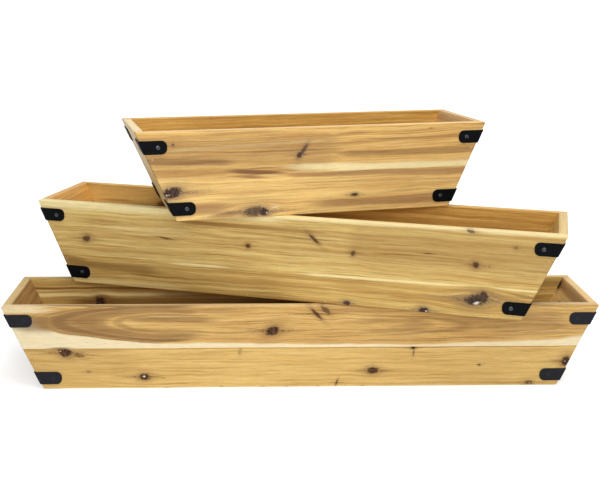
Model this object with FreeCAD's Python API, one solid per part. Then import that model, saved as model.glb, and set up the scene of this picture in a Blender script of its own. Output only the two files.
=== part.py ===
import FreeCAD, Part
import math
import os

# A matched set of three window box planters in three lengths, stacked largest first.
# Each planter is an open trough: upright front and back boards, end boards that lean
# outwards to the rim, a floor of slats with drainage gaps, and eight L-shaped metal
# straps that hold the corners, each with one countersunk screw in each leg.
#
# The frame: the origin is the centre of the large planter's underside, +Z is up, +X
# runs along the large planter and -Y is its front. Sizes are millimetres and degrees.

# The trough's section, the same on all three planters
planter_height = 133.2
inner_depth = 135.6
board_thickness = 12.7
end_lean = 23.6
edge_easing = 2.0
rim_easing = 1.5

# Length over the rim of each planter, and the width of the lower plank in its long boards
large_length = 915.5
medium_length = 828.5
small_length = 552.0
large_lower_plank = 66.0
medium_lower_plank = 48.0
small_lower_plank = 65.0

# How the upper two planters sit on the one below: turned, and a little off centre
medium_turn_angle = -16.7
medium_offset_x = -4.0
medium_offset_y = 22.1
small_turn_angle = 13.8
small_offset_x = 2.7
small_offset_y = 44.0

# The slatted floor
slat_thickness = 8.0
drain_gap = 3.0

# The corner straps
strap_thickness = 1.6
strap_width = 20.0
strap_leg = 36.5
strap_end_radius = 8.5
strap_bend_radius = 2.6
strap_edge_radius = 0.4
upper_strap_below_rim = 12.4
lower_strap_above_base = 8.4

# The strap screws, with raised countersunk heads and a cross recess
screw_length = 12.0
screw_shank_radius = 1.5
screw_head_radius = 3.1
screw_head_rise = 0.6
screw_point = 3.0
screw_from_strap_end = 13.2
recess_width = 0.7
recess_length = 3.4
recess_depth = 1.1

# The brads that hold board to board and board to slat
brad_radius = 0.7
brad_length = 28.0
corner_brad_height = 40.0
floor_brad_pitch = 130.0
floor_brad_end_inset = 45.0

# Room round each screw and brad in its hole
fastener_clearance = 0.05

# Sizes that follow from those above
lean = math.radians(end_lean)
outer_depth = inner_depth + 2 * board_thickness
end_span = board_thickness / math.cos(lean)
strap_span = strap_thickness / math.cos(lean)
screw_from_corner = strap_leg - screw_from_strap_end
upper_strap_middle = planter_height - upper_strap_below_rim - strap_width / 2
lower_strap_middle = lower_strap_above_base + strap_width / 2
slat_names = ("bottom_front_slat", "bottom_middle_slat", "bottom_rear_slat")
slat_width = (inner_depth - (len(slat_names) - 1) * drain_gap) / len(slat_names)

TOLERANCE = 0.01
UP = FreeCAD.Vector(0, 0, 1)
MIDDLE = FreeCAD.Vector(0, 0, 0)
FRONT = FreeCAD.Vector(0, -1, 0)
ACROSS = {"left": FreeCAD.Vector(1, 0, 0), "back": FreeCAD.Vector(0, 1, 0)}


def half_length(length, z):
    """Half of a planter's length over its end boards at height z."""
    return length / 2 - (planter_height - z) * math.tan(lean)


def prism(corners, y_low, y_high):
    """A solid with the outline of the (x, z) corners, reaching from y_low to y_high."""
    points = [FreeCAD.Vector(x, y_low, z) for x, z in corners]
    outline = Part.makePolygon(points + points[:1])
    return Part.Face(outline).extrude(FreeCAD.Vector(0, y_high - y_low, 0))


def leaning_block(length, inset, z_low, z_high, y_low, y_high):
    """A block whose two ends follow the end boards' lean, inset from their outer faces."""
    low = half_length(length, z_low) - inset
    high = half_length(length, z_high) - inset
    return prism([(-low, z_low), (low, z_low), (high, z_high), (-high, z_high)], y_low, y_high)


def edges_within(shape, x_low, x_high, y_low, y_high, z_low, z_high):
    """The edges of a shape that lie wholly inside the given bounds."""
    found = []
    for edge in shape.Edges:
        box = edge.BoundBox
        inside_x = x_low - TOLERANCE < box.XMin and box.XMax < x_high + TOLERANCE
        inside_y = y_low - TOLERANCE < box.YMin and box.YMax < y_high + TOLERANCE
        inside_z = z_low - TOLERANCE < box.ZMin and box.ZMax < z_high + TOLERANCE
        if inside_x and inside_y and inside_z:
            found.append(edge)
    return found


def mirrored(shape, side, face):
    """A shape made for the right front corner, taken to the named corner."""
    if side == "left":
        shape = shape.mirror(MIDDLE, ACROSS["left"])
    if face == "back":
        shape = shape.mirror(MIDDLE, ACROSS["back"])
    return shape


def outer_block(length):
    """The planter's outside as a solid, with every edge eased by hand sanding."""
    block = leaning_block(length, 0, 0, planter_height, -outer_depth / 2, outer_depth / 2)
    return block.makeFillet(edge_easing, block.Edges)


def trough(length, block):
    """The four walls in one piece, with the mouth's edge eased. The boards are cut from it."""
    past = board_thickness
    hollow = leaning_block(length, end_span, -past, planter_height + past,
                           -inner_depth / 2, inner_depth / 2)
    walls = block.cut(hollow)
    reach = half_length(length, planter_height) - end_span
    mouth = edges_within(walls, -reach, reach, -inner_depth / 2, inner_depth / 2,
                         planter_height, planter_height)
    return walls.makeFillet(rim_easing, mouth)


def cut_boards(length, lower_plank, walls):
    """The long boards as two planks each, glued edge to edge, and the two end boards."""
    boards = {}
    long_faces = {"front": -outer_depth / 2, "back": inner_depth / 2}
    rows = {"lower": (0, lower_plank), "upper": (lower_plank, planter_height)}
    for face, y_low in long_faces.items():
        for row, (z_low, z_high) in rows.items():
            blank = Part.makeBox(length, board_thickness, z_high - z_low,
                                 FreeCAD.Vector(-length / 2, y_low, z_low))
            boards[f"{face}_{row}_plank"] = walls.common(blank)
    for side, x_low in {"left": -length / 2, "right": 0}.items():
        blank = Part.makeBox(length / 2, inner_depth, planter_height,
                             FreeCAD.Vector(x_low, -inner_depth / 2, 0))
        boards[f"{side}_end_board"] = walls.common(blank)
    return boards


def floor_slats(length):
    """The floor's slats, laid front to back between the four walls."""
    slats = {}
    for index, name in enumerate(slat_names):
        y_low = -inner_depth / 2 + index * (slat_width + drain_gap)
        slats[name] = leaning_block(length, end_span, 0, slat_thickness, y_low, y_low + slat_width)
    return slats


def round_ended(block, tip, z_low, z_high):
    """A flat bar with the two corners of its end rounded off; tip bounds that end in x and y."""
    corners = edges_within(block, *tip, z_low, z_low) + edges_within(block, *tip, z_high, z_high)
    return block.makeFillet(strap_end_radius, corners)


def on_strap_skin(point, length, y_outer):
    """Whether a point lies on a strap's outer face, over the long leg or over the end leg."""
    over_long = point.y < y_outer + TOLERANCE
    over_end = point.x > half_length(length, point.z) + strap_span - TOLERANCE
    return over_long or over_end


def corner_strap(length, z_middle):
    """One strap bent round the right front corner, with its slanted bend and round ends."""
    z_low = z_middle - strap_width / 2
    z_high = z_middle + strap_width / 2
    low = half_length(length, z_low)
    high = half_length(length, z_high)
    tip_x = half_length(length, z_middle) - strap_leg
    tip_y = -outer_depth / 2 + strap_leg
    y_wood = -outer_depth / 2
    y_outer = y_wood - strap_thickness

    long_leg = prism([(tip_x, z_low), (low + strap_span, z_low), (high + strap_span, z_high), (tip_x, z_high)],
                     y_outer, y_wood)
    long_leg = round_ended(long_leg, (tip_x, tip_x, y_outer, y_wood), z_low, z_high)

    end_bar = Part.makeBox(high + strap_span - low, tip_y - y_outer, strap_width,
                           FreeCAD.Vector(low, y_outer, z_low))
    end_bar = round_ended(end_bar, (low, high + strap_span, tip_y, tip_y), z_low, z_high)
    leaning = prism([(low, z_low), (low + strap_span, z_low), (high + strap_span, z_high), (high, z_high)],
                    y_outer, tip_y)
    end_leg = leaning.common(end_bar)

    strap = long_leg.fuse(end_leg).removeSplitter()
    bend = edges_within(strap, low + strap_span, high + strap_span, y_outer, y_outer, z_low, z_high)
    strap = strap.makeFillet(strap_bend_radius, bend)
    skin_edges = []
    for edge in strap.Edges:
        ends = [vertex.Point for vertex in edge.Vertexes]
        if all(on_strap_skin(point, length, y_outer) for point in ends):
            skin_edges.append(edge)
    return strap.makeFillet(strap_edge_radius, skin_edges)


def screw(grow):
    """A wood screw under its head's rim plane, pointing down; grow turns it into its hole."""
    head = screw_head_radius + grow
    shank = screw_shank_radius + grow
    tip = -screw_length - grow
    dome_radius = (head ** 2 + screw_head_rise ** 2) / (2 * screw_head_rise)
    shoulder_height = math.sqrt(dome_radius ** 2 - head ** 2 / 4) - dome_radius + screw_head_rise
    crown = FreeCAD.Vector(0, 0, screw_head_rise)
    shoulder = FreeCAD.Vector(head / 2, 0, shoulder_height)
    rim = FreeCAD.Vector(head, 0, 0)
    below = [rim,
             FreeCAD.Vector(shank, 0, shank - head),
             FreeCAD.Vector(shank, 0, tip + screw_point),
             FreeCAD.Vector(0, 0, tip)]
    dome = Part.Arc(crown, shoulder, rim).toShape()
    outline = Part.Wire([dome] + Part.makePolygon(below + [crown]).Edges)
    return Part.Face(outline).revolve(MIDDLE, UP, 360)


def recessed_screw():
    """The screw itself, with the cross recess for the driver in its head."""
    body = screw(0)
    for length, width in ((recess_length, recess_width), (recess_width, recess_length)):
        slot = Part.makeBox(length, width, recess_depth + screw_head_rise,
                            FreeCAD.Vector(-length / 2, -width / 2, screw_head_rise - recess_depth))
        body = body.cut(slot)
    return body


def at_strap_holes(length, shape):
    """Copies of a screw-shaped solid at each strap's two holes, over the whole planter."""
    end_normal = FreeCAD.Vector(math.cos(lean), 0, -math.sin(lean))
    copies = []
    for z_middle in (upper_strap_middle, lower_strap_middle):
        corner_x = half_length(length, z_middle)
        on_front = FreeCAD.Vector(corner_x - screw_from_corner, -outer_depth / 2, z_middle)
        on_end = FreeCAD.Vector(corner_x, -outer_depth / 2 + screw_from_corner, z_middle)
        for seat, normal in ((on_front, FRONT), (on_end, end_normal)):
            placed = shape.copy()
            placed.Placement = FreeCAD.Placement(seat + normal * strap_thickness,
                                                 FreeCAD.Rotation(UP, normal))
            for side in ("left", "right"):
                for face in ("front", "back"):
                    copies.append(mirrored(placed, side, face))
    return copies


def brads(length, radius):
    """Every brad as a plain pin of the given radius that starts just outside the wood."""
    proud = edge_easing
    pins = []

    def add(start, direction):
        pins.append(Part.makeCylinder(radius, brad_length + proud, start - direction * proud, direction))

    for face, inward in ((-1, FreeCAD.Vector(0, 1, 0)), (1, FreeCAD.Vector(0, -1, 0))):
        for z in (corner_brad_height, planter_height - corner_brad_height):
            for side in (-1, 1):
                x = side * (half_length(length, z) - end_span / 2)
                add(FreeCAD.Vector(x, face * outer_depth / 2, z), inward)
        reach = half_length(length, slat_thickness / 2) - floor_brad_end_inset
        gaps = max(1, round(2 * reach / floor_brad_pitch))
        for index in range(gaps + 1):
            x = -reach + 2 * reach * index / gaps
            add(FreeCAD.Vector(x, face * outer_depth / 2, slat_thickness / 2), inward)

    for side, inward in ((-1, FreeCAD.Vector(1, 0, 0)), (1, FreeCAD.Vector(-1, 0, 0))):
        x = side * half_length(length, slat_thickness / 2)
        for index in range(len(slat_names)):
            y = -inner_depth / 2 + slat_width / 2 + index * (slat_width + drain_gap)
            add(FreeCAD.Vector(x, y, slat_thickness / 2), inward)
    return pins


def planter(length, lower_plank):
    """Every piece of one planter, standing at the origin along X."""
    block = outer_block(length)
    wood = cut_boards(length, lower_plank, trough(length, block))
    wood.update(floor_slats(length))
    screw_holes = at_strap_holes(length, screw(fastener_clearance))
    brad_holes = brads(length, brad_radius + fastener_clearance)
    pieces = {name: board.cut(screw_holes + brad_holes) for name, board in wood.items()}

    for level, z_middle in (("upper", upper_strap_middle), ("lower", lower_strap_middle)):
        strap = corner_strap(length, z_middle)
        for face in ("front", "back"):
            for side in ("left", "right"):
                corner = mirrored(strap, side, face)
                pieces[f"{face}_{side}_{level}_strap"] = corner.cut(screw_holes)

    pieces["strap_screws"] = Part.makeCompound(at_strap_holes(length, recessed_screw()))
    pins = [pin.common(block) for pin in brads(length, brad_radius)]
    pieces["brads"] = Part.makeCompound(pins)
    return pieces


def export(name, pieces, x, y, z, turn):
    """Turn one planter about its own middle, set it in the stack and write its pieces."""
    place = FreeCAD.Placement(FreeCAD.Vector(x, y, z), FreeCAD.Rotation(UP, turn))
    for piece, shape in pieces.items():
        placed = shape.copy()
        placed.Placement = place.multiply(placed.Placement)
        placed.exportStep(f"parts/{name}_{piece}.step")


os.makedirs("parts", exist_ok=True)
export("large", planter(large_length, large_lower_plank), 0, 0, 0, 0)
export("medium", planter(medium_length, medium_lower_plank),
       medium_offset_x, medium_offset_y, planter_height, medium_turn_angle)
export("small", planter(small_length, small_lower_plank),
       small_offset_x, small_offset_y, 2 * planter_height, small_turn_angle)
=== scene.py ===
import math

import bpy
from mathutils import Matrix, Vector


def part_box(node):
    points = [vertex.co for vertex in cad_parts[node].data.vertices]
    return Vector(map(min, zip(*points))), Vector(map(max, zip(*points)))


# A stacked set of three window box planters: oiled knotty boards, black corner straps,
# screws and brads, on a white floor under soft studio light.
# The scene is in metres. The wood materials work in millimetres on each board's own face.

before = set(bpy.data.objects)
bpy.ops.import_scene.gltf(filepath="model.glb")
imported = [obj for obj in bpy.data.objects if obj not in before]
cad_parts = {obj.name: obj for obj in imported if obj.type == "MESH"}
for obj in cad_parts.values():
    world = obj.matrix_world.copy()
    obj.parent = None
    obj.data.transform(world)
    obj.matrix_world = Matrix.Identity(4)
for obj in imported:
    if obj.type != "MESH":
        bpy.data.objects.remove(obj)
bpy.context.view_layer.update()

MM = 0.001

# ---- the planters, in millimetres, as in the model ----------------------------------------------

planter_height = 133.2
inner_depth = 135.6
board_thickness = 12.7
end_lean = math.radians(23.6)
outer_depth = inner_depth + 2 * board_thickness

# name: length over the rim, offset of the middle in x and y, turn about the middle in degrees
PLANTERS = {
    "large": (915.5, 0.0, 0.0, 0.0),
    "medium": (828.5, -4.0, 22.1, -16.7),
    "small": (552.0, 2.7, 44.0, 13.8),
}
SLATS = ("bottom_front_slat", "bottom_middle_slat", "bottom_rear_slat")

# ---- the wood, in millimetres -------------------------------------------------------------------

# Each noise in the grain: length along it, width across it, detail, roughness
GRAIN = {
    "patch": (110.0, 12.0, 3.0, 0.6),
    "streak": (150.0, 3.4, 3.0, 0.62),
    "thread": (70.0, 1.3, 2.0, 0.6),
    "fibre": (24.0, 0.9, 3.0, 0.65),
    "mottle": (18.0, 3.6, 2.0, 0.6),
    "fleck": (9.0, 0.9, 1.0, 0.5),
    "heart": (4.0, 2.2, 2.0, 0.5),
}
# The noise values between which each feature sets in, or, for the bright streaks, fades out
SETS_IN = {
    "year": (0.34, 0.66),
    "late": (0.50, 0.72),
    "streak": (0.46, 0.74),
    "bright": (0.28, 0.44),
    "thread": (0.50, 0.72),
    "fleck": (0.66, 0.78),
    "heart": (0.42, 0.66),
}
# How much each feature counts: in the colour, then in its shade, roughness and height
patch_swing = 1.8
streak_share = 0.52
thread_share = 0.30
late_share = 0.30
bright_share = 0.4
sap_line_share = 0.45
halo_share = 0.8
core_share = 0.96
heart_share = 0.55
shade_base = 0.72
shade_of_fibre = 0.34
shade_of_mottle = 0.22
shade_of_fleck = 0.30
shade_of_end_grain = 0.22
roughness_base = 0.44
roughness_of_fibre = 0.25
roughness_of_end_grain = 0.2
roughness_of_core = 0.12
height_of_fibre = 0.6
height_of_late = 0.25
height_of_fleck = 0.5
height_of_core = 0.8
# The surface: the strength and depth of its relief, and how much it reflects
relief_strength = 0.5
relief_depth = 0.25
wood_specular = 0.2

# Growth rings: the width of the years and of the fine lines, each with noise detail and roughness
year_rings = (9.0, 3.0, 0.62)
line_rings = (1.9, 2.0, 0.6)
# The slow and the quick waves in them: the length along the board and the width across it, and
# how far the quick ones move the rings
slow_wave = (210.0, 80.0)
quick_wave = (60.0, 20.0)
quick_swing = 1.6
# How far past its start an arch takes to go over from a bend to a nearly straight line
arch_bend = 60.0
# Over how much height the sapwood fades out at its upper edge
sap_end_fade = 6.0

# The grain's own waves: their length and width, what sets the second kind apart from the first,
# and how far they shift stripes and grain
wave_size = (90.0, 40.0)
ripple_size = (26.0, 14.0)
ripple_seed = 3.0
stripe_shift = 3.0
grain_shift = 4.0
ripple_shift = 2.2

# Stripes: the longest that one takes to come to its full width, and the share of it at its tips
longest_fade = 55.0
tip_width = 0.2

# Knots, in parts of a knot's own size: how far it pushes the grain aside, how fast that dies away
# along and across the knot, where its core ends, its tails' length and width, its cloud's fade
knot_push = 0.6
push_fade = (0.14, 0.22)
core_edge = (0.75, 1.35)
tail_size = (3.6, 0.55)
cloud_fade = 0.30
# Their ragged outline: its length, width, detail and roughness, and how far it moves the edges
ragged_noise = (5.0, 2.6, 3.0, 0.65)
ragged_swing = 1.7
tail_raggedness = 1.6
cloud_raggedness = 0.7

# A face is rim where it looks up, and end grain where it looks along the grain: the cosines of
# the angle between which each sets in
rim_facing = (0.8, 0.95)
end_grain_facing = (0.75, 0.95)
# Painted highlight: how far the rims' upward faces, lit from above, go towards sapwood's colour
rim_painted_highlight = 0.35

# ---- the metal ----------------------------------------------------------------------------------

# name: colour as it looks, roughness, metallic, how many times lighter in places, specular
METALS = {
    "grey_strap_paint": ((17, 18, 24), 0.50, 0.0, 1.5, 0.17),
    "black_strap_paint": ((6, 7, 9), 0.46, 0.0, 1.5, 0.05),
    "dark_screw_coating": ((30, 31, 36), 0.42, 0.4, 1.5, 0.25),
    "screw_coating": ((60, 62, 67), 0.28, 0.7, 1.5, 0.25),
    "brad_zinc": ((224, 210, 178), 0.45, 0.2, 1.1, 0.25),
}
# Two noises, a fine orange peel and a coarse cloud: detail, roughness, scale per metre
peel_noise = (2.0, 0.5, 900.0)
cloud_noise = (3.0, 0.6, 110.0)
# The cloud's values between which the lighter places set in
cloud_sets_in = (0.35, 0.7)
# What the cloud adds to the roughness: how much at its most, and from which start
cloud_swing = 0.16
cloud_start = -0.08
# The strength and depth of the orange peel
peel_strength = 0.12
peel_depth = 0.1

# ---- the studio, in metres but for the camera ---------------------------------------------------

# The camera at the photograph's place, in millimetres, its pan, pitch and roll in degrees, and
# its focal length in pixels of a picture of the given width
camera_place = (-77.1, -1530.5, 614.2)
camera_angles = (2.76, 15.15, 0.62)
focal_pixels = 1002.5
picture_width = 600
sensor_width = 36.0

floor_half_size = 30.0
floor_level = -0.0002
floor_colour = (0.86, 0.86, 0.85, 1)
floor_roughness = 0.9
# The floor's glow near the planters and far away, and the distances between which it changes
near_glow = 0.56
far_glow = 1.0
glow_changes = (0.5, 2.6)
# The glow stands for light on the floor, so it ends under the large planter: distances from the
# middle along x and y between which it sets in
covered_length = (0.36, 0.39)
covered_depth = (0.06, 0.076)

# name: place, width, height, power
LAMPS = {
    "overhead": ((0.35, -0.35, 2.2), 2.0, 1.5, 38.0),
    "front": ((0.05, -2.4, 1.2), 1.6, 1.2, 33.0),
}
lamp_target = (0.0, 0.0, 0.2)
ambient_strength = 0.16
WHITE = (1, 1, 1, 1)
BLACK = (0, 0, 0, 1)


# ---- nodes --------------------------------------------------------------------------------------

class Graph:
    """Adds nodes to one node tree, so that a formula reads as lines of code."""

    def __init__(self, tree):
        self.tree = tree

    def put(self, value, socket):
        """Links a socket to an input, or sets the input's own value."""
        if isinstance(value, bpy.types.NodeSocket):
            self.tree.links.new(value, socket)
        else:
            socket.default_value = value

    def node(self, kind, inputs=None, **settings):
        made = self.tree.nodes.new(kind)
        for name, value in settings.items():
            setattr(made, name, value)
        for key, value in (inputs or {}).items():
            self.put(value, made.inputs[key])
        return made

    def math(self, operation, a, b=None, clamp=False):
        made = self.node("ShaderNodeMath", operation=operation, use_clamp=clamp)
        self.put(a, made.inputs[0])
        if b is not None:
            self.put(b, made.inputs[1])
        return made.outputs[0]

    def add(self, a, b):
        return self.math("ADD", a, b)

    def sub(self, a, b):
        return self.math("SUBTRACT", a, b)

    def mul(self, a, b):
        return self.math("MULTIPLY", a, b)

    def div(self, a, b):
        return self.math("DIVIDE", a, b)

    def larger(self, a, b):
        return self.math("MAXIMUM", a, b)

    def size(self, a):
        return self.math("ABSOLUTE", a)

    def square(self, a):
        return self.mul(a, a)

    def bell(self, a):
        """exp(-a), for a that is never negative."""
        return self.math("EXPONENT", self.mul(a, -1.0))

    def swing(self, noise, width):
        """A noise, which lies between 0 and 1, as a swing of the given width about zero."""
        return self.mul(self.sub(noise, 0.5), width)

    def step(self, value, low, high, to_low=0.0, to_high=1.0):
        """A smooth step from to_low at low to to_high at high."""
        made = self.node("ShaderNodeMapRange", interpolation_type="SMOOTHSTEP")
        for key, number in (("Value", value), ("From Min", low), ("From Max", high),
                            ("To Min", to_low), ("To Max", to_high)):
            self.put(number, made.inputs[key])
        return made.outputs["Result"]

    def vector(self, x, y, z):
        return self.node("ShaderNodeCombineXYZ", {"X": x, "Y": y, "Z": z}).outputs[0]

    def parts(self, vector):
        return self.node("ShaderNodeSeparateXYZ", {0: vector}).outputs

    def noise(self, vector, detail=2.0, roughness=0.5, scale=1.0):
        made = self.node("ShaderNodeTexNoise", {"Vector": vector, "Scale": scale, "Detail": detail,
                                                "Roughness": roughness})
        return made.outputs["Fac"]

    def noise_along(self, w, detail, roughness):
        made = self.node("ShaderNodeTexNoise", {"W": w, "Scale": 1.0, "Detail": detail,
                                                "Roughness": roughness}, noise_dimensions="1D")
        return made.outputs["Fac"]

    def mix(self, factor, first, second, blend="MIX"):
        made = self.node("ShaderNodeMix", data_type="RGBA", blend_type=blend)
        self.put(factor, made.inputs["Factor"])
        self.put(first, made.inputs[6])
        self.put(second, made.inputs[7])
        return made.outputs[2]

    def group(self, tree, inputs):
        """One use of a node group, with the given inputs linked or set by name."""
        made = self.node("ShaderNodeGroup", node_tree=tree)
        for key, value in inputs.items():
            self.put(value, made.inputs[key])
        return made.outputs

    def seen(self):
        """One for the rays that show a background as it is: direct, reflected or through glass."""
        rays = self.node("ShaderNodeLightPath").outputs
        indirect = self.larger(rays["Is Glossy Ray"], rays["Is Transmission Ray"])
        return self.larger(rays["Is Camera Ray"], indirect)


def srgb(red, green, blue):
    """A colour given as it looks, from 0 to 255, as the linear colour that a shader takes."""
    def linear(value):
        value /= 255
        return value / 12.92 if value <= 0.04045 else ((value + 0.055) / 1.055) ** 2.4
    return (linear(red), linear(green), linear(blue), 1.0)


def new_group(name, inputs, outputs):
    """An empty node group with float or colour sockets; a colour input's default is a tuple."""
    group = bpy.data.node_groups.new(name, "ShaderNodeTree")
    for label, default in inputs.items():
        kind = "NodeSocketColor" if isinstance(default, tuple) else "NodeSocketFloat"
        socket = group.interface.new_socket(label, in_out="INPUT", socket_type=kind)
        socket.default_value = default
    for label, kind in outputs.items():
        group.interface.new_socket(label, in_out="OUTPUT", socket_type=kind)
    graph = Graph(group)
    return group, graph, graph.node("NodeGroupInput").outputs, graph.node("NodeGroupOutput").inputs


def new_material(name):
    """A material, its graph and its shader."""
    material = bpy.data.materials.new(name)
    material.use_nodes = True
    return material, Graph(material.node_tree), material.node_tree.nodes["Principled BSDF"]


def new_object(name, data):
    """An object in the scene that shows the given data."""
    made = bpy.data.objects.new(name, data)
    bpy.context.scene.collection.objects.link(made)
    return made


# ---- the wood's node groups ---------------------------------------------------------------------

KNOT_BROWN = srgb(38, 20, 12)
STAIN_BROWN = srgb(112, 72, 40)
GLINT = srgb(226, 216, 196)


def knot_group():
    """One knot: it pushes the grain aside, and adds its dark core and its stained halo.

    All lengths are millimetres on the face. Stretch is how much longer the knot is along
    the grain than across it, before it is turned by Tilt. The halo is a cloud round the
    core that draws out into two tails along the grain.
    """
    group, g, given, result = new_group(
        "knot",
        {"Along": 0.0, "Across": 0.0, "Warped": 0.0, "Core": 0.0, "Halo": 0.0, "Ragged": 0.0,
         "Knot Along": 0.0, "Knot Across": 0.0, "Radius": 3.0, "Stretch": 1.0, "Tilt": 0.0,
         "Strength": 1.0},
        {"Warped": "NodeSocketFloat", "Core": "NodeSocketFloat", "Halo": "NodeSocketFloat"})
    radius, ragged, strength = given["Radius"], given["Ragged"], given["Strength"]
    dx = g.sub(given["Along"], given["Knot Along"])
    dz = g.sub(given["Across"], given["Knot Across"])
    cosine = g.math("COSINE", given["Tilt"])
    sine = g.math("SINE", given["Tilt"])
    half_long = g.mul(radius, given["Stretch"])
    u = g.div(g.add(g.mul(dx, cosine), g.mul(dz, sine)), half_long)
    v = g.div(g.sub(g.mul(dz, cosine), g.mul(dx, sine)), radius)
    u_squared = g.square(u)
    v_squared = g.square(v)

    fade_along, fade_across = push_fade
    swell = g.bell(g.add(g.mul(u_squared, fade_along), g.mul(v_squared, fade_across)))
    shift = g.mul(g.mul(g.mul(v, radius), g.mul(swell, knot_push)), cosine)
    g.put(g.sub(given["Warped"], shift), result["Warped"])

    distance = g.math("SQRT", g.add(u_squared, v_squared))
    core = g.step(g.add(distance, ragged), *core_edge, 1.0, 0.0)
    g.put(g.larger(given["Core"], g.mul(core, strength)), result["Core"])

    tail_length, tail_width = tail_size
    tail_along = g.square(g.div(dx, g.mul(half_long, tail_length)))
    tail_across = g.square(g.div(dz, g.mul(radius, tail_width)))
    tail = g.bell(g.add(g.add(tail_along, tail_across), g.mul(ragged, tail_raggedness)))
    cloud_distance = g.add(distance, g.mul(ragged, cloud_raggedness))
    cloud = g.bell(g.mul(g.square(cloud_distance), cloud_fade))
    halo = g.mul(g.larger(cloud, tail), strength)
    g.put(g.larger(given["Halo"], halo), result["Halo"])
    return group


def stripe_group():
    """A stripe between two places along the grain, drawn out to a point at each end."""
    group, g, given, result = new_group(
        "stripe",
        {"Along": 0.0, "Level": 0.0, "Total": 0.0, "From": 0.0, "To": 100.0, "Height": 0.0,
         "Slope": 0.0, "Half Width": 2.0, "Fade": 10.0, "Strength": 1.0},
        {"Total": "NodeSocketFloat"})
    along, fade = given["Along"], given["Fade"]
    middle = g.mul(g.add(given["From"], given["To"]), 0.5)
    line = g.add(given["Height"], g.mul(g.sub(along, middle), given["Slope"]))
    begins = g.step(along, given["From"], g.add(given["From"], fade))
    ends = g.step(along, g.sub(given["To"], fade), given["To"], 1.0, 0.0)
    fullness = g.mul(begins, ends)
    half_width = g.mul(given["Half Width"], g.add(tip_width, g.mul(fullness, 1.0 - tip_width)))
    off = g.div(g.sub(given["Level"], line), half_width)
    flat_topped = g.bell(g.square(g.square(off)))
    value = g.mul(g.mul(flat_topped, given["Strength"]), fullness)
    g.put(g.larger(given["Total"], value), result["Total"])
    return group


def rings_group():
    """How far a point lies from the tree's pith, which runs lengthwise behind the face.

    Centre is the pith's height on the face and Depth how far behind it the pith lies.
    Beyond Arch From and Arch To the pith sinks deeper, which draws the arches of
    flat-sawn wood on the face.
    """
    group, g, given, result = new_group(
        "rings",
        {"Along": 0.0, "Across": 0.0, "Out": 0.0, "Centre": -60.0, "Centre Slope": 0.0,
         "Depth": 60.0, "Arch From": -100.0, "Arch To": 100.0, "Arch Left": 0.05,
         "Arch Right": 0.05, "Wander": 3.0, "Seed": 0.0},
        {"Radius": "NodeSocketFloat"})
    along, across, out = given["Along"], given["Across"], given["Out"]

    def wave(length, width):
        place = g.add(g.div(along, length), given["Seed"])
        return g.noise(g.vector(place, g.div(across, width), g.div(out, width)))

    def sink(past, rate):
        past = g.larger(past, 0.0)
        return g.mul(g.div(g.square(past), g.add(past, arch_bend)), rate)

    slow = g.swing(wave(*slow_wave), g.mul(given["Wander"], 2.0))
    wander = g.add(slow, g.swing(wave(*quick_wave), quick_swing))
    centre = g.add(given["Centre"], g.mul(along, given["Centre Slope"]))
    sideways = g.add(g.sub(across, centre), wander)
    behind = g.add(g.add(given["Depth"], out),
                   g.add(sink(g.sub(given["Arch From"], along), given["Arch Left"]),
                         sink(g.sub(along, given["Arch To"]), given["Arch Right"])))
    g.put(g.math("SQRT", g.add(g.square(behind), g.square(sideways))), result["Radius"])
    return group


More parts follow.
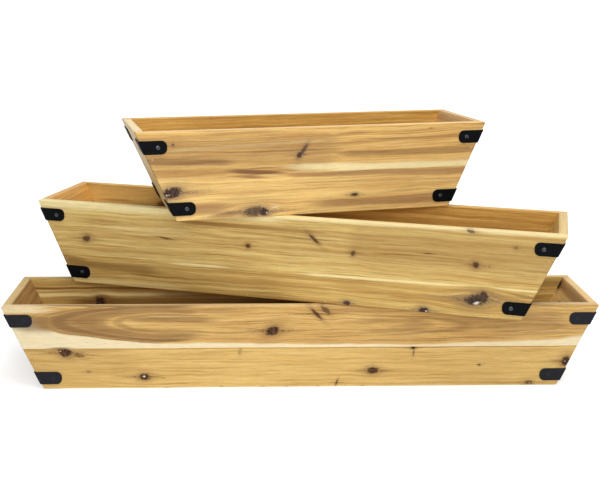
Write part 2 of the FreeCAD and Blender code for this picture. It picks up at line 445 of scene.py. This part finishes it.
def wood_group():
    """The colour, gloss and surface of oiled wood, from its rings, fibres, streaks and knots.

    Beyond Sap Radius, and below the height Sap Below, the wood is pale sapwood.
    """
    group, g, given, result = new_group(
        "wood",
        {"Along": 0.0, "Across": 0.0, "Out": 0.0, "Radius": 60.0, "Core": 0.0, "Halo": 0.0,
         "Dark": 0.0, "Pale": 0.0, "Glint": 0.0, "End Grain": 0.0, "Sap Radius": 900.0,
         "Sap Fade": 1.0, "Sap Below": 200.0, "Seed": 0.0, "Contrast": 1.0, "Ring Contrast": 1.0,
         "Light": WHITE, "Middle": WHITE, "Deep": WHITE, "Sap": WHITE, "Knot": KNOT_BROWN,
         "Stain": STAIN_BROWN},
        {"Color": "NodeSocketColor", "Roughness": "NodeSocketFloat", "Height": "NodeSocketFloat"})
    along, across, out, seed = given["Along"], given["Across"], given["Out"], given["Seed"]
    radius, contrast, ring_contrast = given["Radius"], given["Contrast"], given["Ring Contrast"]
    core, end_grain = given["Core"], given["End Grain"]

    def grain(feature):
        length, width, detail, roughness = GRAIN[feature]
        place = g.vector(g.add(g.div(along, length), seed), g.div(across, width), g.div(out, width))
        return g.noise(place, detail, roughness)

    def rings(width, detail, roughness):
        return g.noise_along(g.add(g.div(radius, width), seed), detail, roughness)

    late = g.step(rings(*line_rings), *SETS_IN["late"])
    streak = grain("streak")
    fibre = grain("fibre")
    fleck = g.step(grain("fleck"), *SETS_IN["fleck"])

    year = g.step(rings(*year_rings), *SETS_IN["year"])
    ringed = g.swing(year, ring_contrast)
    tone = g.add(g.add(0.5, ringed), g.swing(grain("patch"), patch_swing))
    colour = g.mix(g.math("MULTIPLY", tone, contrast, clamp=True), given["Light"], given["Middle"])
    lined = g.add(g.mul(g.step(streak, *SETS_IN["streak"]), streak_share),
                  g.mul(g.step(grain("thread"), *SETS_IN["thread"]), thread_share))
    lined = g.add(lined, g.mul(g.mul(late, late_share), ring_contrast))
    lined = g.math("MULTIPLY", lined, contrast, clamp=True)
    colour = g.mix(lined, colour, given["Deep"])
    bright = g.step(streak, *SETS_IN["bright"], bright_share, 0.0)
    colour = g.mix(g.mul(bright, contrast), colour, given["Sap"])

    sap_colour = g.mix(g.mul(lined, sap_line_share), given["Sap"], given["Light"])
    inner = g.sub(given["Sap Radius"], given["Sap Fade"])
    outer = g.add(given["Sap Radius"], given["Sap Fade"])
    sap_top = given["Sap Below"]
    below = g.step(across, sap_top, g.add(sap_top, sap_end_fade), 1.0, 0.0)
    colour = g.mix(g.mul(g.step(radius, inner, outer), below), colour, sap_colour)
    colour = g.mix(given["Pale"], colour, sap_colour)
    colour = g.mix(given["Dark"], colour, given["Deep"])
    colour = g.mix(g.mul(given["Halo"], halo_share), colour, given["Stain"])

    shade = g.add(shade_base, g.add(g.mul(fibre, shade_of_fibre),
                                    g.mul(grain("mottle"), shade_of_mottle)))
    shade = g.mul(shade, g.sub(1.0, g.mul(fleck, shade_of_fleck)))
    shade = g.mul(shade, g.sub(1.0, g.mul(end_grain, shade_of_end_grain)))
    colour = g.mix(1.0, colour, g.vector(shade, shade, shade), "MULTIPLY")
    stained = g.step(grain("heart"), *SETS_IN["heart"], 0.0, heart_share)
    heart = g.mix(stained, given["Knot"], given["Stain"])
    colour = g.mix(g.mul(core, core_share), colour, heart)
    g.put(g.mix(given["Glint"], colour, GLINT), result["Color"])

    rough = g.add(roughness_base, g.swing(fibre, roughness_of_fibre))
    rough = g.add(rough, g.add(g.mul(end_grain, roughness_of_end_grain),
                               g.mul(core, roughness_of_core)))
    g.put(rough, result["Roughness"])
    pits = g.add(g.mul(late, height_of_late), g.mul(fleck, height_of_fleck))
    height = g.sub(g.mul(fibre, height_of_fibre), pits)
    g.put(g.sub(height, g.mul(core, height_of_core)), result["Height"])
    return group


KNOT = knot_group()
STRIPE = stripe_group()
RINGS = rings_group()
WOOD = wood_group()


# ---- materials ----------------------------------------------------------------------------------

def board_frame(planter, face):
    """The turn and shift from the scene to (along the grain, across it, outwards) on a face.

    Along starts at the planter's middle, across starts at its underside, and outwards is zero
    on the face that is seen from outside, or on the floor's upper side for a slat. The third
    result is the grain's direction in the scene.
    """
    length, x, y, turn = PLANTERS[planter]
    half_base = length / 2 - planter_height * math.tan(end_lean)
    cosine, sine = math.cos(end_lean), math.sin(end_lean)
    axes = {
        "front": ((1, 0, 0), (0, 0, 1), (0, -1, 0)),
        "back": ((-1, 0, 0), (0, 0, 1), (0, 1, 0)),
        "left": ((0, -1, 0), (-sine, 0, cosine), (-cosine, 0, -sine)),
        "right": ((0, 1, 0), (sine, 0, cosine), (cosine, 0, -sine)),
        "floor": ((1, 0, 0), (0, 1, 0), (0, 0, 1)),
    }[face]
    corner = {
        "front": (0, -outer_depth / 2, 0),
        "back": (0, outer_depth / 2, 0),
        "left": (-half_base, 0, 0),
        "right": (half_base, 0, 0),
        "floor": (0, 0, 0),
    }[face]
    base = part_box(f"{planter}_bottom_middle_slat")[0].z
    place = Matrix.Translation((x * MM, y * MM, base)) @ Matrix.Rotation(math.radians(turn), 4, "Z")
    origin = place @ (Vector(corner) * MM)
    to_face = Matrix(axes) @ place.to_3x3().inverted()
    return to_face, -(to_face @ origin), place.to_3x3() @ Vector(axes[0])


def add_stripes(g, along, level, stripes, total=0.0):
    """Lays stripes (from, to, height, slope, half width, strength) over a total so far."""
    for begins, ends, height, slope, half_width, strength in stripes:
        fade = min(longest_fade, (ends - begins) / 2)
        total = g.group(STRIPE, {"Along": along, "Level": level, "Total": total, "From": begins,
                                 "To": ends, "Height": height, "Slope": slope,
                                 "Half Width": half_width, "Fade": fade,
                                 "Strength": strength})["Total"]
    return total


def add_knots(g, along, across, knots):
    """The grain's height warped by the knots, with the knots' cores and halos."""
    length, width, detail, roughness = ragged_noise
    outline = g.noise(g.vector(g.div(along, length), g.div(across, width), 0.0), detail, roughness)
    ragged = g.swing(outline, ragged_swing)
    state = {"Warped": across, "Core": 0.0, "Halo": 0.0}
    for at_along, at_across, radius, stretch, tilt, strength in knots:
        made = g.group(KNOT, {**state, "Along": along, "Across": across, "Ragged": ragged,
                              "Knot Along": at_along, "Knot Across": at_across,
                              "Radius": radius, "Stretch": stretch, "Tilt": math.radians(tilt),
                              "Strength": strength})
        state = {key: made[key] for key in state}
    return state["Warped"], state["Core"], state["Halo"]


def known_to(group, values):
    """Those of the values that the node group has a socket for."""
    return {key: value for key, value in values.items() if key in group.interface.items_tree}


def wood_material(name, planter, face, colours, knots=(), dark=(), pale=(), arcs=(), glints=(),
                  **grain):
    """The oiled wood of one board, in millimetres along and across its face.

    knots: (along, across, radius, stretch, tilt in degrees, strength)
    dark, pale and glints: stripes (from, to, height, slope, half width, strength)
    arcs: dark stripes that follow a growth ring, with the ring's radius as their height
    grain: values for the rings and wood groups, with _ for each space in their names
    """
    material, g, shader = new_material(name)
    turn, shift, grain_axis = board_frame(planter, face)
    coordinates = g.node("ShaderNodeTexCoord").outputs
    mapped = g.node("ShaderNodeMapping", {
        "Vector": coordinates["Object"], "Location": shift / MM, "Rotation": turn.to_euler("XYZ"),
        "Scale": (1 / MM, 1 / MM, 1 / MM)}, vector_type="POINT")
    on_face = g.parts(mapped.outputs[0])
    along, across, out = on_face["X"], on_face["Y"], on_face["Z"]
    warped, core, halo = add_knots(g, along, across, knots)

    def wave(length, width, seed=0.0):
        return g.noise(g.vector(g.div(along, length), g.div(across, width), seed))

    wavy = wave(*wave_size)
    ripple = wave(*ripple_size, ripple_seed)
    bent = g.add(warped, g.swing(wavy, stripe_shift))
    rippled = g.add(bent, g.add(g.swing(wavy, grain_shift), g.swing(ripple, ripple_shift)))
    place = {"Along": along, "Across": rippled, "Out": out}
    given = {**colours, **{key.replace("_", " "): value for key, value in grain.items()}}
    ring = g.group(RINGS, {**place, **known_to(RINGS, given)})["Radius"]

    normal = coordinates["Normal"]
    with_grain = g.node("ShaderNodeVectorMath", {0: normal, 1: grain_axis}, operation="DOT_PRODUCT")
    # Painted highlight: faces that look up are drawn paler, as if lit from above, through the pale
    # stripes
    rim = g.step(g.parts(normal)["Z"], *rim_facing, 0.0, 0.0 if face == "floor" else rim_painted_highlight)
    look = g.group(WOOD, {
        **place, **known_to(WOOD, given), "Radius": ring, "Core": core, "Halo": halo,
        "Dark": add_stripes(g, along, ring, arcs, add_stripes(g, along, bent, dark)),
        "Pale": add_stripes(g, along, bent, pale, rim),
        "Glint": add_stripes(g, along, across, glints),
        "End Grain": g.step(g.size(with_grain.outputs["Value"]), *end_grain_facing)})

    relief = g.node("ShaderNodeBump", {"Height": look["Height"], "Strength": relief_strength,
                                       "Distance": relief_depth * MM})
    g.put(look["Color"], shader.inputs["Base Color"])
    g.put(look["Roughness"], shader.inputs["Roughness"])
    g.put(relief.outputs[0], shader.inputs["Normal"])
    g.put(wood_specular, shader.inputs["Specular IOR Level"])
    return material


def metal_material(name, look, roughness, metallic, speck, specular):
    """Painted or plated metal with slightly uneven gloss and a faint orange-peel surface."""
    material, g, shader = new_material(name)
    place = g.node("ShaderNodeTexCoord").outputs["Object"]
    cloud = g.noise(place, *cloud_noise)
    colour = srgb(*look)
    lighter = tuple(min(1.0, part * speck) for part in colour[:3]) + (1.0,)
    g.put(g.mix(g.step(cloud, *cloud_sets_in), colour, lighter), shader.inputs["Base Color"])
    g.put(g.add(roughness + cloud_start, g.mul(cloud, cloud_swing)), shader.inputs["Roughness"])
    g.put(metallic, shader.inputs["Metallic"])
    g.put(specular, shader.inputs["Specular IOR Level"])
    peel = g.node("ShaderNodeBump", {"Height": g.noise(place, *peel_noise),
                                     "Strength": peel_strength, "Distance": peel_depth * MM})
    g.put(peel.outputs[0], shader.inputs["Normal"])
    return material


# ---- the boards ---------------------------------------------------------------------------------

def palette(light, middle, deep, sap):
    """The wood group's colours for early wood, late wood, dark lines and sapwood."""
    return {"Light": srgb(*light), "Middle": srgb(*middle), "Deep": srgb(*deep), "Sap": srgb(*sap)}


BROWN = palette((226, 186, 110), (204, 160, 94), (116, 80, 48), (241, 225, 186))
GOLD = palette((231, 196, 122), (212, 172, 101), (158, 112, 52), (246, 224, 168))
OLIVE = palette((218, 184, 108), (192, 150, 80), (130, 94, 44), (240, 220, 158))
STRAW = palette((226, 196, 122), (202, 164, 94), (140, 98, 44), (240, 222, 164))
AMBER = palette((232, 190, 114), (210, 162, 92), (120, 82, 52), (242, 224, 170))
GINGER = palette((240, 202, 126), (222, 178, 106), (142, 98, 66), (246, 224, 168))
CREAM = palette((238, 214, 160), (226, 198, 140), (188, 152, 100), (244, 226, 184))
ORANGE = palette((226, 172, 92), (206, 148, 74), (150, 98, 48), (234, 188, 112))
RUDDY = palette((240, 202, 130), (218, 176, 106), (124, 68, 38), (240, 212, 162))
HONEY = palette((218, 172, 90), (196, 148, 72), (144, 98, 46), (232, 190, 112))
UMBER = palette((190, 148, 92), (162, 120, 68), (112, 78, 44), (222, 194, 126))
TAN = palette((214, 174, 114), (188, 144, 90), (134, 96, 58), (226, 190, 132))
PURPLE = srgb(92, 70, 66)

# The values that wood_material takes for each board
BOARDS = {
    "large_front_upper_plank": dict(
        face="front", colours=BROWN, Seed=3.1, Ring_Contrast=0.55, Wander=2.0,
        Centre=103.0, Centre_Slope=-0.015, Depth=54.0,
        Arch_From=-230.0, Arch_To=120.0, Arch_Left=0.06, Arch_Right=0.022,
        Sap_Radius=62.4, Sap_Fade=0.8, Sap_Below=112.0,
        knots=[(-48, 93, 6.4, 1.6, 20, 1.0), (19, 120, 2.4, 4.2, -45, 0.9),
               (33, 126, 3.4, 2.2, -40, 0.7)],
        arcs=[(-430, -190, 61.9, 0.0, 0.5, 0.6), (-430, -150, 60.2, 0.0, 1.2, 0.75),
              (-420, -130, 57.8, 0.0, 1.5, 0.6), (-320, -120, 55.6, 0.0, 0.5, 0.5),
              (90, 300, 56.1, 0.0, 0.4, 0.45), (60, 240, 54.7, 0.0, 0.5, 0.35)],
        dark=[(-470, -340, 106, 0.0, 14.0, 0.7), (-345, -60, 126, 0.0, 4.0, 0.3),
              (-300, -110, 112, -0.02, 5.0, 0.55), (-404, -338, 66.6, 0.0, 1.1, 0.9),
              (130, 210, 108, -0.05, 6.0, 0.5), (200, 430, 108, -0.02, 20.0, 0.3),
              (-100, -60, 96, 0.0, 1.0, 0.5)],
        pale=[(-540, -360, 129, 0.0, 6.0, 0.75), (220, 540, 70, 0.02, 5.0, 0.9),
              (370, 560, 79, 0.1, 7.0, 0.9)]),
    "large_front_lower_plank": dict(
        face="front", colours=GOLD, Seed=8.4, Contrast=0.9, Ring_Contrast=0.3, Wander=2.0,
        Centre=38.0, Depth=80.0, Arch_From=-260.0, Arch_To=250.0, Arch_Left=0.06,
        knots=[(-364, 59.5, 5.8, 1.6, -15, 1.0), (-345, 55, 3, 3, -12, 0.5),
               (-245, 19, 4.6, 1.7, 0, 1.0), (108, 27, 4.6, 1.8, 0, 1.0),
               (170, 64, 2.2, 1.5, 0, 0.9), (171, 57, 1.2, 4.5, 85, 0.5),
               (52, 7, 1.3, 3.5, 70, 0.7), (412, 40, 6.5, 1.15, 60, 1.0),
               (355, 5, 3, 2.0, 0, 0.7), (275, 35, 1.2, 1.5, 0, 0.8),
               (-98, 60, 2.4, 2.0, 80, 0.25), (-330, 28, 2, 2, 0, 0.3)],
        arcs=[(-300, -120, 80.6, 0.0, 0.14, 0.35)],
        dark=[(-520, 520, 64.8, 0.0, 0.8, 0.6), (-500, -230, 40, 0.0, 30.0, 0.2),
              (-222, -211, 17.5, -0.1, 0.9, 0.8), (-222, -200, 1.5, 0, 0.9, 0.7),
              (-134, -120, 1.5, 0, 0.9, 0.7), (-70, -55, 1.5, 0, 0.9, 0.7),
              (-30, -22, 1.5, 0, 0.9, 0.7), (18, 28, 1.5, 0, 0.9, 0.7),
              (86, 100, 1.5, 0, 0.9, 0.7)],
        # Painted reflection: the pale stripe along the bottom edge, as the floor's light on the
        # rounded edge
        pale=[(-400, 400, 0.6, 0.0, 1.6, 0.8)],
        glints=[(-249, -242, 19.6, 0.0, 1.8, 1.0), (-373, -370, 62.0, 0.0, 1.0, 0.8)]),
    "medium_front_upper_plank": dict(
        face="front", colours=STRAW, Seed=12.2, Contrast=0.9,
        knots=[(-331, 75, 4.6, 1.3, 20, 0.85), (-61, 83, 3, 1.2, 0, 0.95),
               (44, 101, 2.3, 4.0, -42, 0.85), (104, 84, 3, 1.3, 60, 0.75),
               (286, 80, 3.8, 1.1, 0, 1.0), (277, 130, 2.2, 2.4, -10, 0.7),
               (342, 110, 2, 1.5, 0, 0.4), (306, 80, 1.4, 1.2, 0, 0.4),
               (-196, 85.5, 0.8, 12.0, -6, 0.9), (216, 92, 0.7, 9.0, 2, 0.8)],
        # The dark stripes at heights 113 and 103 are partly dark grain, partly painted shadow of
        # the small planter
        dark=[(-212, -178, 84, -0.11, 0.9, 0.8), (-290, -228, 91.5, 0.03, 0.6, 0.5),
              (100, 240, 87, 0.03, 1.2, 0.9), (-200, 90, 113, -0.01, 3.6, 0.7),
              (-130, 60, 103, -0.02, 2.0, 0.5), (-370, -250, 104, 0.0, 6.0, 0.25),
              (-60, 560, 98, 0.0, 30.0, 0.2), (60, 560, 98, 0.0, 30.0, 0.45)],
        pale=[(-520, 20, 130, 0.0, 8.0, 1.0), (-100, 520, 131.5, 0.0, 3.4, 0.9),
              (-330, -120, 96, 0.0, 3.0, 0.3)]),
    "medium_front_lower_plank": dict(
        face="front", colours=OLIVE, Stain=PURPLE, Seed=17.9,
        knots=[(292, 28, 8, 1.7, 12, 0.9), (286, 25, 6, 2.0, 0, 1.0),
               (301, 34, 5, 1.4, -50, 0.9), (96, 5, 3, 1.6, 0, 0.95),
               (213, 4, 4.2, 1.5, 0, 1.0)],
        dark=[(-400, -180, 31, -0.02, 7.0, 0.7), (-440, -300, 40, -0.1, 6.0, 0.7),
              (300, 420, 38, -0.12, 2.2, 0.6), (0, 460, 1.5, 0.0, 1.4, 0.5)],
        pale=[(-216, -70, 45.5, 0.0, 2.2, 1.0), (0, 480, 46.5, 0.004, 2.4, 1.0),
              (-420, -140, 5, 0.0, 6.0, 0.35)],
        glints=[(283, 298, 22, 0.3, 2.3, 1.0), (215, 219, 3.0, 0.0, 1.3, 1.0)]),
    "small_front_upper_plank": dict(
        face="front", colours=AMBER, Stain=PURPLE, Seed=23.7, Contrast=0.85, Centre=230.0,
        knots=[(-24, 99, 2.6, 3.6, 58, 0.7), (-30, 92, 3.4, 1.4, 60, 0.9),
               (-221, 114, 1.6, 1.2, 0, 0.6)],
        dark=[(-330, 60, 100, 0.0, 24.0, 0.40), (-330, 20, 74, 0.0, 14.0, 0.25),
              (-300, -100, 88, -0.05, 6.0, 0.75), (-170, -20, 68, -0.10, 4.4, 0.95),
              (-150, -30, 74.5, 0.01, 1.2, 0.6), (0, 300, 91, 0.0, 5.0, 0.6),
              (60, 320, 112, 0.01, 2.4, 0.4), (174, 190, 126, 0.0, 0.9, 0.8),
              (0, 120, 122.5, 0.0, 1.4, 0.5), (-60, 120, 107, 0.02, 3.0, 0.35),
              (-200, -40, 128, 0.02, 2.5, 0.35)],
        pale=[(-75, 110, 72.5, -0.025, 5.6, 0.95), (-10, 330, 69.0, -0.006, 6.4, 0.95),
              (-260, 40, 109, 0.03, 2.4, 0.35)]),
    "small_front_lower_plank": dict(
        face="front", colours=GINGER, Stain=PURPLE, Seed=29.3, Contrast=0.85, Centre=230.0,
        knots=[(-224, 43, 7.4, 1.7, 12, 1.0), (-100, 9, 7, 2.2, 4, 0.8),
               (-86, 8, 5.5, 1.3, 0, 1.0), (59, 27, 2.2, 2.4, 0, 0.9)],
        dark=[(-80, 330, 60, -0.02, 5.2, 0.62), (-60, 330, 47, -0.02, 1.4, 0.35),
              (-30, 240, 15, 0.0, 6.0, 0.62), (60, 240, 21, 0.02, 1.6, 0.5),
              (-200, -90, 6, 0.1, 4.0, 0.65), (-290, -110, 17, 0.02, 8.0, 0.65),
              (-155, -60, 62, -0.10, 3.0, 0.8)],
        glints=[(-83, -79, 6.0, 0.0, 1.2, 0.9), (-78, -58, 14.0, 0.15, 0.9, 0.8),
                (-234, -230, 40, 0.0, 1.2, 0.9)]),
    "large_back_upper_plank": dict(
        face="back", colours=OLIVE, Seed=41.3,
        knots=[(331, 93, 7, 1.2, 50, 1.0)],
        # The broad dark stripe at height 88 is partly darker wood, partly painted shadow of the
        # medium planter above
        dark=[(60, 520, 116, 0.0, 2.0, 0.9), (-300, 400, 88, 0.0, 12.0, 0.8),
              (-340, 260, 106, 0.0, 9.0, 0.6), (-520, -340, 122, 0.0, 6.0, 0.4)],
        pale=[(150, 520, 105, 0.0, 3.0, 0.9)]),
    "large_back_lower_plank": dict(face="back", colours=OLIVE, Seed=48.6),
    "large_left_end_board": dict(
        face="left", colours=UMBER, Seed=55.2, Centre=30.0,
        # Painted highlight: the pale stripe at the board's top, its rim, as if lit from above
        pale=[(-140, 140, 143, 0.0, 4.5, 0.75)]),
    "large_right_end_board": dict(
        face="right", colours=RUDDY, Seed=62.9, Contrast=0.5, Centre=30.0,
        knots=[(64, 126, 6, 1.3, 70, 1.0)],
        dark=[(-120, 120, 129, 0.0, 9.5, 0.6), (22, 40, 106, -0.6, 2.0, 0.6)]),
    "medium_back_upper_plank": dict(
        face="back", colours=HONEY, Seed=70.7,
        knots=[(255, 100, 9, 1.6, 0, 0.9)],
        dark=[(280, 400, 106, 0.0, 2.2, 0.5), (-390, -180, 108, 0.0, 4.0, 0.4)],
        pale=[(120, 430, 112, 0.0, 24.0, 0.8)]),
    "medium_back_lower_plank": dict(face="back", colours=OLIVE, Seed=77.1),
    "medium_left_end_board": dict(face="left", colours=ORANGE, Seed=84.5, Centre=30.0),
    "medium_right_end_board": dict(face="right", colours=OLIVE, Seed=91.8, Centre=30.0),
    "small_back_upper_plank": dict(
        face="back", colours=HONEY, Seed=98.4,
        pale=[(140, 260, 124, 0.0, 2.5, 0.3), (-240, -60, 126, 0.0, 3.0, 0.3)]),
    "small_back_lower_plank": dict(face="back", colours=AMBER, Seed=105.2),
    "small_left_end_board": dict(face="left", colours=CREAM, Seed=112.6, Centre=30.0),
    "small_right_end_board": dict(face="right", colours=TAN, Seed=119.3, Centre=30.0),
}
# Each slat's seed comes so far after the one before, from this start
slat_seed_start = 130.0
slat_seed_step = 7.3


def dress(node, material):
    """Gives a piece of the model its material in every slot."""
    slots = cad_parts[node].data.materials
    slots.clear()
    slots.append(material)


def dress_boards():
    for node, spec in BOARDS.items():
        planter = node.split("_")[0]
        dress(node, wood_material(node, planter, **spec))
    seed = slat_seed_start
    for planter in PLANTERS:
        for slat in SLATS:
            seed += slat_seed_step
            node = f"{planter}_{slat}"
            dress(node, wood_material(node, planter, "floor", GOLD, Seed=seed))


def dress_metal():
    """Straps and screws, which are greyer or darker on the large planter, and brads."""
    metals = {name: metal_material(name, *values) for name, values in METALS.items()}
    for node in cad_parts:
        large = node.startswith("large_")
        if node.endswith("_strap"):
            dress(node, metals["grey_strap_paint" if large else "black_strap_paint"])
        elif node.endswith("_strap_screws"):
            dress(node, metals["dark_screw_coating" if large else "screw_coating"])
        elif node.endswith("_brads"):
            dress(node, metals["brad_zinc"])


# ---- the studio ---------------------------------------------------------------------------------

def add_camera():
    pan, pitch, roll = (math.radians(angle) for angle in camera_angles)
    forward = Vector((math.sin(pan) * math.cos(pitch), math.cos(pan) * math.cos(pitch),
                      -math.sin(pitch)))
    right = Vector((math.cos(pan), -math.sin(pan), 0))
    up = right.cross(forward)
    rolled_right = math.cos(roll) * right + math.sin(roll) * up
    rolled_up = math.cos(roll) * up - math.sin(roll) * right
    camera = new_object("camera", bpy.data.cameras.new("camera"))
    camera.data.sensor_width = sensor_width
    camera.data.lens = sensor_width * focal_pixels / picture_width
    turn = Matrix((rolled_right, rolled_up, -forward)).transposed()
    camera.matrix_world = Matrix.Translation(Vector(camera_place) * MM) @ turn.to_4x4()
    bpy.context.scene.camera = camera


def floor_glow(g):
    """How strongly the floor glows: less near the planters, and not at all under the large one."""
    place = g.node("ShaderNodeTexCoord").outputs["Object"]
    away = g.node("ShaderNodeVectorMath", {0: place}, operation="LENGTH").outputs["Value"]
    strength = g.step(away, *glow_changes, near_glow, far_glow)
    sides = g.parts(place)
    clear_x = g.step(g.size(sides["X"]), *covered_length)
    clear_y = g.step(g.size(sides["Y"]), *covered_depth)
    return g.mul(strength, g.larger(clear_x, clear_y))


def add_floor():
    """A large white floor that shows white to the camera and keeps a soft shadow."""
    size = floor_half_size
    corners = [(x, y, floor_level) for x, y in ((-size, -size), (size, -size), (size, size),
                                                (-size, size))]
    mesh = bpy.data.meshes.new("floor")
    mesh.from_pydata(corners, [], [(0, 1, 2, 3)])
    floor = new_object("floor", mesh)
    material, g, shader = new_material("floor")
    g.put(floor_colour, shader.inputs["Base Color"])
    g.put(floor_roughness, shader.inputs["Roughness"])
    glow = g.node("ShaderNodeEmission", {"Color": WHITE, "Strength": floor_glow(g)}).outputs[0]
    none = g.node("ShaderNodeEmission", {"Color": BLACK, "Strength": 0.0}).outputs[0]
    chosen = g.node("ShaderNodeMixShader", {0: g.seen(), 1: none, 2: glow}).outputs[0]
    both = g.node("ShaderNodeAddShader", {0: shader.outputs[0], 1: chosen}).outputs[0]
    g.put(both, material.node_tree.nodes["Material Output"].inputs["Surface"])
    floor.data.materials.append(material)


def add_lamp(name, place, width, height, power):
    data = bpy.data.lights.new(name, "AREA")
    data.shape = "RECTANGLE"
    data.size = width
    data.size_y = height
    data.energy = power
    lamp = new_object(name, data)
    lamp.location = place
    towards = Vector(lamp_target) - Vector(place)
    lamp.rotation_euler = towards.to_track_quat("-Z", "Y").to_euler()


def add_world():
    """An even, weak light from all sides, which shows as white."""
    world = bpy.data.worlds.new("studio")
    world.use_nodes = True
    g = Graph(world.node_tree)
    background = world.node_tree.nodes["Background"]
    g.put(WHITE, background.inputs["Color"])
    g.put(g.step(g.seen(), 0.0, 1.0, ambient_strength, 1.0), background.inputs["Strength"])
    bpy.context.scene.world = world


add_camera()
add_floor()
for lamp_name, lamp_values in LAMPS.items():
    add_lamp(lamp_name, *lamp_values)
add_world()
dress_boards()
dress_metal()
bpy.context.scene.view_settings.view_transform = "Standard"
